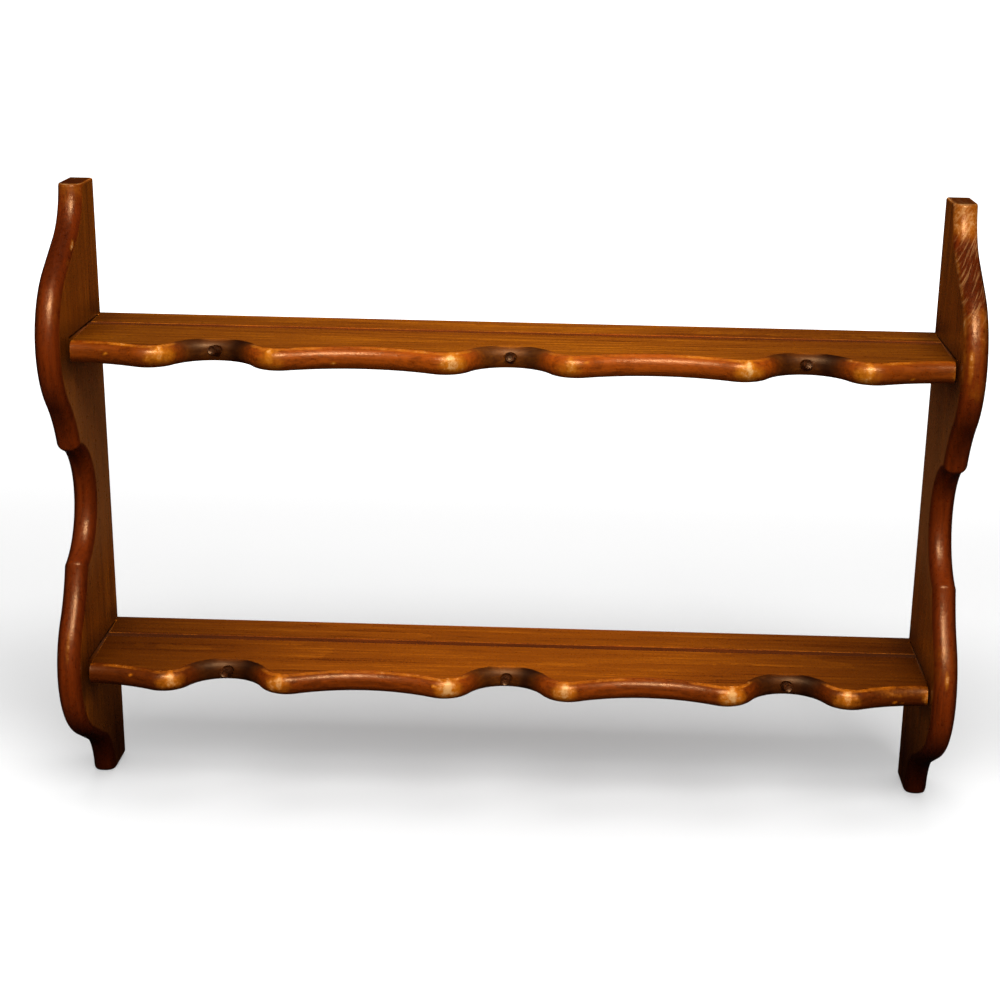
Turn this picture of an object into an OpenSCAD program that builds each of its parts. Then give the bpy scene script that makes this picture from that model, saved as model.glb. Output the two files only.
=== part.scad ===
// Wall plate rack: two ogee side boards, two scalloped shelves with plate grooves, six cup pegs.
// The wall plane is y = 0, the front of the rack faces -y, and +z is up.
// The origin lies midway between the entry holes of the two keyhole hangers, in the wall plane.

/* [Rack] */
// Clear width between the side boards
inner_w = 720; // [540:10:900]
// Height between the middles of the two shelves
shelf_spacing = 282.5; // [270:2.5:340]

/* [Side boards] */
// Thickness of each side board
board_t = 20.5; // [18:0.5:26]
// Depth of the board at the crest of each lobe
lobe_depth = 132; // [124:1:150]
// Radius of each lobe
lobe_r = 76.5; // [70:0.5:84]
// Height of the upper lobe's middle above its shelf's middle; the lower two are level
lobe_rise = 2.5; // [0:0.5:5]
// Slope of the straight run between a lobe and the cove of its tip, from the vertical
tip_slope = 58; // [50:1:62]
// Radius of the cove between that run and the tip
tip_r = 50.5; // [40:0.5:56]
// Depth of the board at its tips
tip_depth = 39.5; // [36:0.5:50]
// Height of the top end above the middle of the upper lobe
top_reach = 122.5; // [112:0.5:140]
// Drop of the foot below the middle of the lower lobe
foot_reach = 127.5; // [112:0.5:140]
// Rounding of the two outer corners of each board's outline
tip_corner_r = 3; // [1:0.5:6]
// Radius of the round cove at the neck of the board
neck_r = 50.5; // [44:0.5:56]
// Depth of the board in the middle of the neck
neck_depth = 50; // [44:1:60]
// Slope where the sweep from the neck runs into a lobe, from the vertical
sweep_slope = 42; // [38:1:46]
// Radius of the hollow sweep between the neck's lip and a lobe
sweep_r = 110; // [90:5:130]
// Radius that rounds the front edge of each board
board_edge_r = 9.5; // [4:0.5:10]
// How far the same rounding eases the sawn ends
end_ease = 2.5; // [1:0.5:4]

/* [Shelves] */
// Thickness of each shelf
shelf_t = 18.5; // [16:0.5:22]
// Notches along the front of each shelf, with one peg in each
notch_count = 3; // [2:1:4]
// Depth of the shelf at the bottom of a notch
notch_depth = 97; // [88:1:104]
// Radius of each notch
notch_r = 33; // [28:1:38]
// Depth of the shelf at the crests beside a notch
crest_depth = 127.5; // [122:0.5:131]
// Radius of those crests
crest_r = 28; // [22:1:34]
// Depth of the shelf in the hollow between two notches, and at its ends
valley_depth = 114.5; // [110:0.5:118]
// Radius that rounds the front edge of each shelf
shelf_edge_r = 8.5; // [4:0.5:9]
// Width of the plate groove along each shelf
groove_w = 8; // [5:0.5:12]
// Distance from the wall to the middle of the groove
groove_setback = 42; // [34:1:50]

/* [Housing joints] */
// Depth of the housings that take the shelf ends
housing_d = 6; // [4:0.5:8]
// Length of each housing, from the wall
housing_l = 98; // [90:1:102]
// Radius of the screws' shanks
screw_r = 2.1; // [1.5:0.1:2.5]
// Radius of the screws' heads
screw_head_r = 4; // [3:0.1:4.5]
// Thickness of the screws' heads
screw_head_t = 3; // [2:0.5:4]
// Length of each screw inside its shelf
screw_bite = 32; // [20:1:45]
// Distance from the wall to the rear screw of a joint
screw_rear = 20; // [14:1:28]
// Distance from the wall to the front screw of a joint
screw_front = 78; // [60:1:84]
// Radius of the plugs over the screws
plug_r = 5; // [4.8:0.1:6.5]
// Thickness of the plugs
plug_t = 4; // [2:0.5:5]

/* [Pegs] */
// Radius of the stub that stands out of the notch
peg_r = 4.1; // [3.5:0.1:5]
// Radius of the tenon glued into the shelf
peg_tenon_r = 3.2; // [2.5:0.1:3.4]
// Length of the stub in front of the notch
peg_reach = 15; // [10:1:40]
// Depth of the stub's seat behind the notch's face
peg_seat = 3; // [2.5:0.5:4]
// Length of the tenon
peg_tenon_l = 12; // [8:0.5:14]
// Upward tilt of the pegs
peg_tilt = 18; // [0:1:20]
// Rounding of the peg's end
peg_ease = 1.2; // [0.5:0.1:2]

/* [Keyhole hangers] */
// Length of each hanger plate
hanger_l = 46; // [44:1:60]
// Width of each hanger plate
hanger_w = 15; // [13:0.5:17]
// Thickness of each hanger plate
hanger_t = 1.6; // [1:0.1:2.5]
// Drop of the plate's middle below the top end of its board
hanger_drop = 44; // [34:1:56]
// Radius of the entry hole
entry_r = 4.75; // [4:0.05:5]
// Half the width of the slot above the entry hole
slot_r = 2.4; // [2:0.1:2.8]
// Drop of the entry hole below the plate's middle
entry_drop = 4.5; // [3:0.5:5]
// Length of the slot from the entry hole's centre
slot_l = 11.5; // [9:0.5:13]
// Depth of the pocket behind the plate
pocket_d = 12; // [8:0.5:14]
// Room round the entry hole in that pocket
pocket_margin = 0.8; // [0.3:0.1:1.2]
// Distance of the plate's screws from its middle
hanger_screw_offset = 18; // [17.5:0.5:22]
// Radius of those screws
hanger_screw_r = 1.6; // [1.2:0.1:2]
// Radius of their countersunk heads
hanger_head_r = 3; // [2.4:0.1:3.4]
// Length of those screws
hanger_screw_l = 16; // [10:1:20]

/* [Hidden] */

// Glue line round a dowel or plug, and the room round a screw's shank
fit_gap = 0.1;
// Cuts run this far past the faces they open, and joined shapes this far into each other
over = 1;
// Smoothness of round holes and pins
round_fn = 48;

// Heights, from the neck's middle: of a lobe, the two ends and the hanging line, and of a shelf by its level
lobe_z = (shelf_spacing + lobe_rise) / 2;
top_z = lobe_z + top_reach;
foot_z = lobe_z + foot_reach;
hang_z = top_z - hanger_drop - entry_drop;
function shelf_z(level) = level > 0 ? lobe_z - lobe_rise : -lobe_z;

// Widths
inner_x = inner_w / 2;
board_x = inner_x + board_t / 2;
pitch = inner_w / notch_count;

// The edge radii can't pass half the thickness
board_round = min(board_edge_r, board_t / 2);
shelf_round = min(shelf_edge_r, shelf_t / 2);

// Steps along the curves, in degrees, and rings round each half of an edge
arc_step = 8;
corner_steps = 3;
edge_rings = 4;

// Steps that an arc takes for a turn of so many degrees
function steps(turn) = max(1, ceil(abs(turn) / arc_step));

// Points of an arc round c = [along, depth], by the angle from the depth axis, in n steps
function arc(c, r, from, to, n) =
    [for (k = [0 : n]) let (a = from + (to - from) * k / n) [c[0] + r * sin(a), c[1] + r * cos(a)]];

// The list without its first point
function rest(points) = [for (k = [1 : len(points) - 1]) points[k]];

// The list in reverse, with the first coordinate negated
function mirrored(points) = [for (k = [len(points) - 1 : -1 : 0]) [-points[k][0], points[k][1]]];

// Where two circles meet, on the side of larger first coordinate
function circles_meet(c0, r0, c1, r1) =
    let (
        d = c1 - c0,
        l = norm(d),
        along = (r0 * r0 - r1 * r1 + l * l) / (2 * l),
        aside = sqrt(r0 * r0 - along * along),
        u = d / l
    )
    c0 + along * u + aside * [u[1], -u[0]];

// Angle of point p round centre c, from the depth axis
function angle_of(p, c) = atan2(p[0] - c[0], p[1] - c[1]);

// ---- Outline of a side board: half of it, from the neck's middle to one end, as [height, depth] ----
// inset moves the front edge back evenly, and ease draws in the sawn end.
lobe_c = [lobe_z, lobe_depth - lobe_r];
neck_c = [0, neck_depth + neck_r];
sweep_c = lobe_c + (lobe_r + sweep_r) * [-sin(sweep_slope), cos(sweep_slope)];
run_start = lobe_c + lobe_r * [sin(tip_slope), cos(tip_slope)];
run_l = (run_start[1] + tip_r * cos(tip_slope) - tip_depth - tip_r) / sin(tip_slope);
cove_c = run_start + run_l * [cos(tip_slope), -sin(tip_slope)] + tip_r * [sin(tip_slope), cos(tip_slope)];

// Every inset has as many points, so that the layers of the edge match
lip_steps = let (lip = circles_meet(neck_c, neck_r, sweep_c, sweep_r))
    [steps(180 - angle_of(lip, neck_c)), steps(180 - sweep_slope - angle_of(lip, sweep_c))];

function half_board(end_z, inset, ease) =
    let (
        lip = circles_meet(neck_c, neck_r + inset, sweep_c, sweep_r + inset),
        corner_z = end_z - ease - tip_corner_r,
        cove_reach = min(corner_z - cove_c[0], 0),
        cove_end = 180 + asin(-cove_reach / (tip_r + inset)),
        tip = cove_c[1] - sqrt(pow(tip_r + inset, 2) - cove_reach * cove_reach)
    )
    concat(
        arc(neck_c, neck_r + inset, 180, angle_of(lip, neck_c), lip_steps[0]),
        rest(arc(sweep_c, sweep_r + inset, angle_of(lip, sweep_c), 180 - sweep_slope, lip_steps[1])),
        rest(arc(lobe_c, lobe_r - inset, -sweep_slope, tip_slope, steps(sweep_slope + tip_slope))),
        arc(cove_c, tip_r + inset, 180 + tip_slope, cove_end, steps(tip_slope)),
        rest(arc([corner_z, tip - tip_corner_r], tip_corner_r, 0, 90, corner_steps)),
        [[end_z - ease, 0]]
    );

// The whole outline, from the foot round the front to the top, and back by two points in the wall plane
function board_ring(inset, ease) =
    concat(
        mirrored(half_board(foot_z, inset, ease)),
        rest(half_board(top_z, inset, ease)),
        [[lobe_z, 0], [-lobe_z, 0]]
    );

// Each of those two points sees one half of the outline
board_fans = let (
        neck = len(half_board(foot_z, 0, 0)) - 1,
        top = neck + len(half_board(top_z, 0, 0)) - 1
    )
    [
        concat([top + 2], [for (k = [0 : neck]) k]),
        concat([top + 1], [for (k = [neck : top]) k]),
        [top + 2, neck, top + 1]
    ];

// ---- Outline of a shelf's front: half a pitch, from a notch's middle outwards, as [along, depth] ----
notch_c = [0, notch_depth + notch_r];
crest_c_depth = crest_depth - crest_r;
crest_u = sqrt(pow(notch_r + crest_r, 2) - pow(notch_c[1] - crest_c_depth, 2));
crest_c = [crest_u, crest_c_depth];
valley_gap = pitch / 2 - crest_u;
valley_rise = valley_depth - crest_c_depth;
valley_r = (pow(valley_gap, 2) + pow(valley_rise, 2) - pow(crest_r, 2)) / (2 * (crest_r - valley_rise));
valley_c = [pitch / 2, valley_depth + valley_r];

function half_pitch(inset) =
    let (
        notch_turn = atan2(crest_u, notch_c[1] - crest_c_depth),
        valley_turn = atan2(valley_gap, valley_c[1] - crest_c_depth)
    )
    concat(
        arc(notch_c, notch_r + inset, 180, 180 - notch_turn, steps(notch_turn)),
        rest(arc(crest_c, crest_r - inset, -notch_turn, valley_turn, steps(notch_turn + valley_turn))),
        rest(arc(valley_c, valley_r + inset, 180 + valley_turn, 180, steps(valley_turn)))
    );

// Middle of a notch, along the shelf
function notch_x(k) = -inner_x + (k + 0.5) * pitch;

// The whole outline, from the left end along the front, and back by a point in the wall plane behind each notch
function shelf_ring(inset) =
    concat(
        [[-inner_x, 0]],
        [for (k = [0 : notch_count - 1])
            let (
                half = half_pitch(inset),
                one = concat(mirrored(half), rest(half)),
                first = k == 0 ? 0 : 1
            )
            for (j = [first : len(one) - 1]) [one[j][0] + notch_x(k), one[j][1]]],
        [[inner_x, 0]],
        [for (k = [notch_count - 1 : -1 : 0]) [notch_x(k), 0]]
    );

// Each of those points sees the front of its own pitch
shelf_fans = let (
        step = 2 * (len(half_pitch(0)) - 1),
        last = notch_count - 1,
        right_end = notch_count * step + 2,
        hubs = [for (k = [0 : last]) right_end + notch_count - k]
    )
    concat(
        [for (k = [0 : last]) concat(
            [hubs[k]],
            k == 0 ? [0] : [],
            [for (j = [k * step + 1 : (k + 1) * step + 1]) j],
            k == last ? [right_end] : []
        )],
        [for (k = [1 : last]) [hubs[k - 1], k * step + 1, hubs[k]]]
    );

// ---- Rounded edges: each layer is [place across the thickness, inset], from one face to the other ----
function edge_layers(thickness, r) =
    let (
        side = [for (k = [0 : edge_rings]) let (a = 90 * (1 - k / edge_rings))
            [thickness / 2 - r + r * sin(a), r * (1 - cos(a))]],
        flat = thickness - 2 * r > 0.01,
        kept = flat ? side : [for (k = [0 : edge_rings - 1]) side[k]]
    )
    concat(
        [for (k = [0 : len(side) - 1]) [-side[k][0], side[k][1]]],
        [for (k = [len(kept) - 1 : -1 : 0]) kept[k]]
    );

// Closed solid through rings of equal length, each a list of points in space.
// fans splits the two flat ends into faces: a hub, then the run of ring points that it sees.
module skin(rings, fans) {
    n = len(rings[0]);
    last = (len(rings) - 1) * n;
    points = [for (ring = rings) for (p = ring) p];
    walls = [for (k = [0 : n : last - n]) for (j = [0 : n - 1])
        let (a = k + j, b = k + (j + 1) % n)
        for (face = [[a, b, b + n], [a, b + n, a + n]]) face];
    first_end = [for (fan = fans) concat([fan[0]], [for (k = [len(fan) - 1 : -1 : 1]) fan[k]])];
    last_end = [for (fan = fans) [for (j = fan) last + j]];
    polyhedron(points, concat(walls, first_end, last_end));
}

// Everything below is drawn from the neck's middle and then set below the hanging line
module at_hang() {
    translate([0, 0, -hang_z]) children();
}

// +1 for what is on the right or above, -1 for the left or below
module on_side(side) {
    if (side > 0) children();
    else mirror([1, 0, 0]) children();
}

// A rod along +x from the origin
module rod_x(r, l) {
    rotate([0, 90, 0]) cylinder(r = r, h = l, $fn = round_fn);
}

// A rod along -y from the origin
module rod_front(r, l) {
    rotate([90, 0, 0]) cylinder(r = r, h = l, $fn = round_fn);
}

// Puts a child, drawn at the joint's line on the inner face, at both screws of the joint
module at_joint_screws() {
    for (setback = [screw_rear, screw_front]) translate([inner_x, -setback, 0]) children();
}

// Where the screw's head sits, measured from the board's inner face
head_x = board_t - plug_t - screw_head_t;

module board_blank() {
    layers = edge_layers(board_t, board_round);
    rings = [for (layer = layers)
        [for (p = board_ring(layer[1], end_ease * layer[1] / board_round)) [layer[0], -p[1], p[0]]]];
    translate([board_x, 0, 0]) skin(rings, board_fans);
}

module board_joint_cuts() {
    translate([inner_x - over, -housing_l, -shelf_t / 2])
        cube([housing_d + over, housing_l + over, shelf_t]);
    at_joint_screws() {
        rod_x(screw_r + fit_gap, board_t + over);
        translate([head_x, 0, 0]) rod_x(plug_r + fit_gap, board_t);
    }
}

// Outline of a hanger plate, upright in the xz plane and pushed forward from the wall
module hanger_outline(extra_depth) {
    straight = hanger_l / 2 - hanger_w / 2;
    translate([board_x, 0, hang_z + entry_drop]) rotate([90, 0, 0]) translate([0, 0, -extra_depth])
        linear_extrude(hanger_t + extra_depth) {
            square([hanger_w, 2 * straight], center = true);
            for (end = [-1, 1]) translate([0, end * straight]) circle(r = hanger_w / 2, $fn = round_fn);
        }
}

// Puts a child at the middle of the entry hole
module at_entry() {
    translate([board_x, 0, hang_z]) children();
}

// A slot of half width r from the entry hole's middle up to where the wall screw ends
module hang_slot(r, depth) {
    at_entry() {
        rod_front(r, depth);
        translate([0, 0, slot_l]) rod_front(r, depth);
        translate([-r, -depth, 0]) cube([2 * r, depth, slot_l]);
    }
}

// Puts a child at both screws of a hanger, in the wall plane
module at_hanger_screws() {
    for (end = [-1, 1])
        translate([board_x, 0, hang_z + entry_drop + end * hanger_screw_offset]) children();
}

module board_hanger_cuts() {
    hanger_outline(over);
    hang_slot(entry_r + pocket_margin, hanger_t + pocket_d);
    at_hanger_screws() rod_front(hanger_screw_r + fit_gap, hanger_screw_l + fit_gap);
}

module side_board() {
    difference() {
        board_blank();
        for (level = [-1, 1]) translate([0, 0, shelf_z(level)]) board_joint_cuts();
        board_hanger_cuts();
    }
}

module shelf_blank() {
    rings = [for (layer = edge_layers(shelf_t, shelf_round))
        [for (p = shelf_ring(layer[1])) [p[0], -p[1], -layer[0]]]];
    skin(rings, shelf_fans);
    for (side = [-1, 1]) on_side(side)
        translate([inner_x - over, -housing_l, -shelf_t / 2])
            cube([housing_d + over, housing_l, shelf_t]);
}

// Puts a child at the middle of each notch, in the shelf's middle plane
module at_notch(k) {
    translate([notch_x(k), -notch_depth, 0]) children();
}

// Turns the z axis into a peg's axis, outwards and a little up
module along_peg() {
    rotate([90 - peg_tilt, 0, 0]) children();
}

module peg_hole() {
    along_peg() {
        translate([0, 0, -peg_seat]) cylinder(r = peg_r + fit_gap, h = peg_seat + peg_reach, $fn = round_fn);
        translate([0, 0, -peg_seat - peg_tenon_l - fit_gap])
            cylinder(r = peg_tenon_r + fit_gap, h = peg_tenon_l + 2 * fit_gap, $fn = round_fn);
    }
}

module shelf() {
    groove_l = inner_w + 2 * housing_d + 2 * over;
    difference() {
        shelf_blank();
        translate([-groove_l / 2, -groove_setback, shelf_t / 2]) rod_x(groove_w / 2, groove_l);
        for (k = [0 : notch_count - 1]) at_notch(k) peg_hole();
        for (side = [-1, 1]) on_side(side) at_joint_screws()
            translate([-screw_bite, 0, 0]) rod_x(screw_r + fit_gap, screw_bite + housing_d + over);
    }
}

module peg() {
    along_peg() {
        rotate_extrude($fn = round_fn)
            polygon([
                [0, -peg_seat], [peg_r, -peg_seat], [peg_r, peg_reach - peg_ease],
                [peg_r - peg_ease * 0.3, peg_reach - peg_ease * 0.3], [peg_r - peg_ease, peg_reach],
                [0, peg_reach]
            ]);
        translate([0, 0, -peg_seat - peg_tenon_l]) cylinder(r = peg_tenon_r, h = peg_tenon_l, $fn = round_fn);
    }
}

module joint_screws() {
    at_joint_screws() {
        translate([-screw_bite, 0, 0]) rod_x(screw_r, screw_bite + head_x);
        translate([head_x, 0, 0]) rod_x(screw_head_r, screw_head_t);
    }
}

module joint_plugs() {
    at_joint_screws() translate([head_x + screw_head_t, 0, 0]) rod_x(plug_r, plug_t);
}

module hanger() {
    difference() {
        hanger_outline(0);
        translate([0, over, 0]) {
            at_entry() rod_front(entry_r, hanger_t + 2 * over);
            hang_slot(slot_r, hanger_t + 2 * over);
        }
        at_hanger_screws() hanger_screw(fit_gap);
    }
}

// A countersunk screw in the wall plane, with room all round for its hole
module hanger_screw(room) {
    head_l = hanger_head_r - hanger_screw_r;
    rod_front(hanger_screw_r + room, hanger_screw_l);
    rotate([90, 0, 0])
        cylinder(r1 = hanger_head_r + room, r2 = hanger_screw_r + room, h = min(head_l, hanger_t), $fn = round_fn);
}

module shelf_at(level) {
    at_hang() translate([0, 0, shelf_z(level)]) children();
}

module side(side) {
    color("#8a481c") at_hang() on_side(side) side_board();
}

module shelf_node(level) {
    color("#9a5a22") shelf_at(level) shelf();
}

module peg_node(level, k) {
    color("#4a2a16") shelf_at(level) at_notch(k) peg();
}

module screws_node(level, side) {
    color("#c8b060") shelf_at(level) on_side(side) joint_screws();
}

module plugs_node(level, side) {
    color("#7a3e18") shelf_at(level) on_side(side) joint_plugs();
}

module hanger_node(side) {
    color("#b8bcc0") at_hang() on_side(side) hanger();
}

module hanger_screws_node(side) {
    color("#d0c088") at_hang() on_side(side) at_hanger_screws() hanger_screw(0);
}

side(-1);  // side_left
side(1);  // side_right
shelf_node(1);  // shelf_upper
shelf_node(-1);  // shelf_lower
peg_node(1, 0);  // peg_upper_left
peg_node(1, 1);  // peg_upper_centre
peg_node(1, notch_count - 1);  // peg_upper_right
peg_node(-1, 0);  // peg_lower_left
peg_node(-1, 1);  // peg_lower_centre
peg_node(-1, notch_count - 1);  // peg_lower_right
screws_node(1, -1);  // screws_upper_left
screws_node(1, 1);  // screws_upper_right
screws_node(-1, -1);  // screws_lower_left
screws_node(-1, 1);  // screws_lower_right
plugs_node(1, -1);  // plugs_upper_left
plugs_node(1, 1);  // plugs_upper_right
plugs_node(-1, -1);  // plugs_lower_left
plugs_node(-1, 1);  // plugs_lower_right
hanger_node(-1);  // hanger_left
hanger_node(1);  // hanger_right
hanger_screws_node(-1);  // hanger_screws_left
hanger_screws_node(1);  // hanger_screws_right
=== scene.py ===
# %% [markdown]
# # A wall plate rack, dressed in stained pine
# The rack has two shaped side boards, two scalloped shelves with a plate groove and three notches,
# a short cup peg in every notch, screws under wooden plugs, and a keyhole hanger on the back of
# each board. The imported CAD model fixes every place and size. This lesson builds smoother pieces
# in its place and gives each one its finish. Lengths are drawn in millimetres, as a maker would,
# and scaled to metres when a piece is done.

# %% Load the fixed frame
import math

import bmesh
import bpy
from mathutils import Matrix, Vector


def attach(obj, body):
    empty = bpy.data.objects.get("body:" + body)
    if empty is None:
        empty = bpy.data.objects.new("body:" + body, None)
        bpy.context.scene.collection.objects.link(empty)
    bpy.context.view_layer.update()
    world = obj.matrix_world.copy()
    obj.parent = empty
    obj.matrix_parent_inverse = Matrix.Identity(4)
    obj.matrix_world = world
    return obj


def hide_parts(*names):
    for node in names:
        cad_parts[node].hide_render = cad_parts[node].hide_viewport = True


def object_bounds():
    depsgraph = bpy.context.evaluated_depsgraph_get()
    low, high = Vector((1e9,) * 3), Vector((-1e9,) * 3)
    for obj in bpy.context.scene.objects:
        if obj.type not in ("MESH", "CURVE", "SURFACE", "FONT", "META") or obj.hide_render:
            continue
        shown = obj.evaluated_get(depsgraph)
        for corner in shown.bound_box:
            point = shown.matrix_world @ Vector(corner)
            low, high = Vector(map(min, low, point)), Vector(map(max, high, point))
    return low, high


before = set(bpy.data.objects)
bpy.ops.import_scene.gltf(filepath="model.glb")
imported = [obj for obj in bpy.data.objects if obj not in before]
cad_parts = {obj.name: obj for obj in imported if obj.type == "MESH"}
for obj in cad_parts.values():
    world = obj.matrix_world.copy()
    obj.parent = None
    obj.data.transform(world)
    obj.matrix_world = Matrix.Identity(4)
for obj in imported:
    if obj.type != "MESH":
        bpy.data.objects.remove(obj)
cad_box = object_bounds()
MM = 0.001
print("CAD box:", cad_box)

# %% [markdown]
# ## The camera
# The photograph was taken from just above the upper shelf, a little right of the middle, looking
# down by about 18 degrees. A camera in Blender looks along its own -Z, so three directions are
# enough to aim it: where it looks, what is right in the picture, and what is up.

# %% Place the camera
CAMERA_AT = (0.0640, -1.54754, 0.26953)
LOOK_RIGHT, LOOK_DOWN, ROLL = -0.0194, 0.3106, 0.0200  # radians
FOCAL_SHARE = 1.83047  # focal length over the picture's width
SENSOR = 36.0
SHIFT_X = -0.05169  # slides the picture sideways, as if the photograph had been cropped


def look_directions(turn, dip, roll):
    """The camera's right, up and backward directions."""
    level = math.cos(dip)
    forward = Vector((math.sin(turn) * level, math.cos(turn) * level, -math.sin(dip)))
    right = Vector((math.cos(turn), -math.sin(turn), 0))
    down = forward.cross(right)
    rolled_right = right * math.cos(roll) - down * math.sin(roll)
    rolled_down = down * math.cos(roll) + right * math.sin(roll)
    return rolled_right, -rolled_down, -forward


lens = bpy.data.cameras.new("camera")
lens.sensor_width = SENSOR
lens.lens = FOCAL_SHARE * SENSOR
lens.shift_x = SHIFT_X
camera = bpy.data.objects.new("camera", lens)
camera.matrix_world = Matrix.Translation(CAMERA_AT) @ Matrix(
    look_directions(LOOK_RIGHT, LOOK_DOWN, ROLL)
).transposed().to_4x4()
bpy.context.scene.collection.objects.link(camera)
bpy.context.scene.camera = camera
bpy.context.scene.view_settings.view_transform = "Standard"
print("lens", round(lens.lens, 1), "mm")

# %% [markdown]
# ## Drawing an outline with arcs
# A jigsaw follows a line made of arcs, and so does this script. One loose point is swept round a
# centre by bmesh's spin, which leaves a chain of edges behind it, just as Spin does in Edit Mode.
# Every outline is drawn flat: x runs along the board, and -y is its depth from the wall.


# %% Pens for arcs and straight lines
def at(along, depth, level=0.0):
    return Vector((along, -depth, level))


def start_line(bm, along, depth, level):
    return bmesh.ops.create_vert(bm, co=at(along, depth, level))["vert"][0]


def draw_arc(bm, tip, centre, start, end, step=3.0, count=None):
    """Sweeps tip round centre, from one angle off the depth axis to another, in degrees.

    A fixed count keeps the same number of points in every ring, however short the arc gets."""
    steps = count or max(1, math.ceil(abs(end - start) / step))
    swept = bmesh.ops.spin(
        bm, geom=[tip], cent=at(*centre, tip.co.z), axis=(0, 0, 1),
        angle=math.radians(end - start), steps=steps,
    )
    return next(v for v in swept["geom_last"] if isinstance(v, bmesh.types.BMVert))


def draw_to(bm, tip, along, depth):
    made = bmesh.ops.extrude_vert_indiv(bm, verts=[tip])["verts"][0]
    made.co = at(along, depth, tip.co.z)
    return made


def join_ends(bm, a, b):
    bmesh.ops.contextual_create(bm, geom=[a, b])


def meet(c0, r0, c1, r1):
    """Where two circles cross, on the side further along."""
    c0, c1 = Vector(c0), Vector(c1)
    d = c1 - c0
    u = d.normalized()
    reach = (r0 * r0 - r1 * r1 + d.length_squared) / (2 * d.length)
    aside = math.sqrt(r0 * r0 - reach * reach)
    return c0 + u * reach + Vector((u.y, -u.x)) * aside


def bearing(point, centre):
    """Angle of a point round a centre, off the depth axis, in degrees."""
    return math.degrees(math.atan2(point[0] - centre[0], point[1] - centre[1]))


# %% [markdown]
# ## A rounded front edge
# The front of every board is rounded by a router with a half-round cutter. Instead of bevelling a
# finished slab, the outline is drawn again and again, each time a little further in towards the
# face, and the rings are bridged. So a tight corner keeps its shape and no bevel folds over.


# %% Layers of an edge, and a skin over them
def edge_layers(thick, round_r, rings=12):
    """(place across the thickness, inset) of each ring, from one face to the other."""
    half = []
    for k in range(rings + 1):
        a = math.radians(90 * (1 - k / rings))
        half.append((thick / 2 - round_r + round_r * math.sin(a), round_r * (1 - math.cos(a))))
    return [(-place, inset) for place, inset in half] + half[::-1]


def skin_rings(bm, draw, layers):
    """Draws a closed outline at each layer, bridges them, and closes both ends with a face."""
    loops = []
    for place, inset in layers:
        before = set(bm.edges)
        draw(bm, place, inset)
        loops.append([e for e in bm.edges if e not in before])
    for near, far in zip(loops, loops[1:]):
        bmesh.ops.bridge_loops(bm, edges=near + far)
    for loop in (loops[0], loops[-1]):
        bmesh.ops.contextual_create(bm, geom=loop)
    bmesh.ops.recalc_face_normals(bm, faces=bm.faces[:])


# %% [markdown]
# ## Cutting with solids
# Housings, holes and the plate groove are cut as in a workshop: a solid of the tool's shape is
# taken away. The cutters are simple bmesh shapes, and a Boolean modifier does each cut exactly.


# %% Cutters, and finishing a mesh
def block(bm, low, high):
    low, high = Vector(low), Vector(high)
    size = high - low
    matrix = Matrix.Translation((low + high) / 2) @ Matrix.Diagonal((*size, 1))
    bmesh.ops.create_cube(bm, size=1, matrix=matrix)


def rod(bm, radius, start, end, far_radius=None, sides=48):
    start, end = Vector(start), Vector(end)
    axis = end - start
    turned = axis.to_track_quat("Z", "Y").to_matrix().to_4x4()
    bmesh.ops.create_cone(
        bm, cap_ends=True, cap_tris=False, segments=sides, radius1=radius,
        radius2=radius if far_radius is None else far_radius, depth=axis.length,
        matrix=Matrix.Translation((start + end) / 2) @ turned,
    )


def to_object(bm, name):
    """Scales a drawing from millimetres to metres and makes it an object."""
    bmesh.ops.scale(bm, vec=(MM, MM, MM), verts=bm.verts[:])
    mesh = bpy.data.meshes.new(name)
    bm.to_mesh(mesh)
    bm.free()
    made = bpy.data.objects.new(name, mesh)
    bpy.context.scene.collection.objects.link(made)
    return made


def keep_result(piece):
    """Bakes a piece's modifiers into its mesh."""
    graph = bpy.context.evaluated_depsgraph_get()
    mesh = bpy.data.meshes.new_from_object(piece.evaluated_get(graph))
    piece.modifiers.clear()
    old, piece.data = piece.data, mesh
    mesh.name = piece.name
    bpy.data.meshes.remove(old)


def carve(piece, operation, *drawings):
    """Cuts away, or adds, what each drawing function makes, one after another."""
    for draw in drawings:
        bm = bmesh.new()
        draw(bm)
        tool = to_object(bm, "tool")
        change = piece.modifiers.new("cut", "BOOLEAN")
        change.operation = operation
        change.solver = "EXACT"
        change.object = tool
        keep_result(piece)
        bpy.data.objects.remove(tool)


def soften(piece, sharp=34):
    """Smooth shading that keeps flat faces flat and real corners crisp."""
    piece.data.polygons.foreach_set("use_smooth", [True] * len(piece.data.polygons))
    piece.data.set_sharp_from_angle(angle=math.radians(sharp))
    weighted = piece.modifiers.new("even_shading", "WEIGHTED_NORMAL")
    weighted.keep_sharp = True
    weighted.weight = 80


# %% [markdown]
# ## The side boards
# Each side is one board sawn to a shape of two lobes, one beside each shelf, with a narrow neck
# between them and a tapering tip at either end. Where the neck's round cove meets the sweep of a
# lobe there is a soft lip, so the pen adds a small round there. The sawn ends are only eased.

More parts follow.
